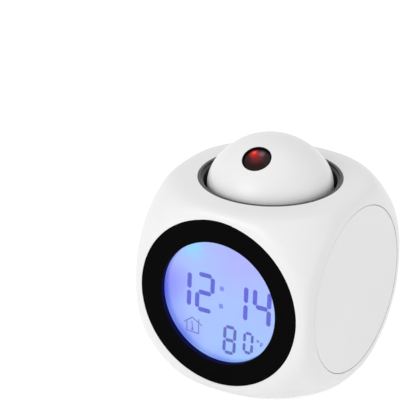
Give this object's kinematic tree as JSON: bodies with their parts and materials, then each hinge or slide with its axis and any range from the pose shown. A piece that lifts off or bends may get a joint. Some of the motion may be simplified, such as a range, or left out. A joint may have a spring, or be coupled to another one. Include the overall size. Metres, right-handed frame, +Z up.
{
  "type": "projection alarm clock",
  "caption": "White rounded-cube table clock with a round lit display in a black ring and a press-and-turn projector dome on top.",
  "frame": {"origin": "on the table under the middle of the body, at the bottom of the rubber feet", "axes": "+Z up, the display faces -Y, and +X is to the right of someone who faces the display"},
  "size_m": [0.08, 0.0812, 0.0975],
  "materials": {
    "white_gloss": "glossy white ABS",
    "white_satin": "satin white ABS, moulded",
    "key_white": "glossy white ABS keys",
    "ring_black": "black ABS, flat and smooth",
    "well_grey": "dark grey ABS",
    "clear_window": "clear acrylic",
    "display_film": "polarising film lit from behind",
    "display_glass": "thin display glass",
    "guide_clear": "frosted acrylic light guide",
    "inner_white": "natural white moulding",
    "rubber_black": "black silicone rubber",
    "board": "paper-phenolic circuit board",
    "epoxy_black": "black epoxy drop",
    "steel": "zinc-plated steel",
    "nickel": "nickel-plated steel",
    "sleeve_dark": "shrink sleeve",
    "switch_dark": "dark switch housing",
    "magnet": "ferrite and plated steel",
    "cone_film": "pressed speaker cone",
    "cell_jacket": "plain printed cell jacket",
    "felt": "pressed felt",
    "barrel_black": "black ABS",
    "lens_red": "tinted projector lens",
    "lens_clear": "clear condenser lens",
    "led_red": "red diffused LED",
    "led_white": "white LED",
    "lead_jacket": "PVC insulation"
  },
  "bodies": {
    "case": {"main_shell": "white_gloss", "side_cap_right": "white_gloss", "side_cap_left": "white_gloss", "bezel_ring": "ring_black", "front_window": "clear_window", "polarisers": "display_film", "lcd_front_glass": "display_glass", "lcd_rear_glass": "display_glass", "light_guide": "guide_clear", "backlight_leds": "led_white", "lcd_frame": "inner_white", "contact_strip": "rubber_black", "main_board": "board", "chip_blobs": "epoxy_black", "quartz_crystal": "nickel", "capacitors": "sleeve_dark", "rear_cover": "white_satin", "tact_switches": "switch_dark", "button_board": "board", "thermistor": "epoxy_black", "speaker_basket": "steel", "speaker_magnet": "magnet", "speaker_cone": "cone_film", "base_plate": "white_satin", "rubber_feet": "rubber_black", "contact_plates": "steel", "contact_springs": "steel", "socket_ring": "well_grey", "return_spring": "steel", "snooze_board": "board", "snooze_switch": "switch_dark", "case_screws": "steel", "inner_screws": "steel", "battery_leads": "lead_jacket", "key_leads": "lead_jacket", "cell_1": "cell_jacket", "cell_2": "cell_jacket", "cell_3": "cell_jacket"},
    "dome_carrier": {"dome_plunger": "inner_white", "retaining_clip": "steel", "friction_washer": "felt", "swivel_screw": "steel"},
    "dome_head": {"turntable": "inner_white", "dome_screws": "steel", "dome_shell": "white_gloss", "projector_barrel": "barrel_black", "projector_lens": "lens_red", "condenser_lens": "lens_clear", "slide_lcd": "display_glass", "red_led": "led_red", "led_board": "board"},
    "battery_door": {"battery_door": "white_satin"},
    "mode_key": {"mode_button": "key_white", "mode_plunger": "switch_dark"},
    "set_key": {"set_button": "key_white", "set_plunger": "switch_dark"},
    "up_key": {"up_button": "key_white", "up_plunger": "switch_dark"},
    "down_key": {"down_button": "key_white", "down_plunger": "switch_dark"}
  },
  "joints": [
    {"name": "dome_press", "type": "slide", "parent": "case", "child": "dome_carrier", "axis": [0, 0, -1], "range_m": [0, 0.002], "stiffness_N_per_m": 400, "springref_m": -0.004, "deforming": ["return_spring"]},
    {"name": "dome_swivel", "type": "hinge", "parent": "dome_carrier", "child": "dome_head", "pos_m": [0, 0, 0.069], "axis": [0, 0, 1], "range_deg": [-95.6, 84.4]},
    {"name": "mode_press", "type": "slide", "parent": "case", "child": "mode_key", "axis": [0, -1, 0], "range_m": [0, 0.0005], "stiffness_N_per_m": 3000, "springref_m": -0.0002},
    {"name": "set_press", "type": "slide", "parent": "case", "child": "set_key", "axis": [0, -1, 0], "range_m": [0, 0.0005], "stiffness_N_per_m": 3000, "springref_m": -0.0002},
    {"name": "up_press", "type": "slide", "parent": "case", "child": "up_key", "axis": [0, -1, 0], "range_m": [0, 0.0005], "stiffness_N_per_m": 3000, "springref_m": -0.0002},
    {"name": "down_press", "type": "slide", "parent": "case", "child": "down_key", "axis": [0, -1, 0], "range_m": [0, 0.0005], "stiffness_N_per_m": 3000, "springref_m": -0.0002},
    {"name": "battery_door_tilt", "type": "hinge", "parent": "case", "child": "battery_door", "pos_m": [0, -0.0173, 0.001], "axis": [-1, 0, 0], "range_deg": [0, 60]}
  ]
}
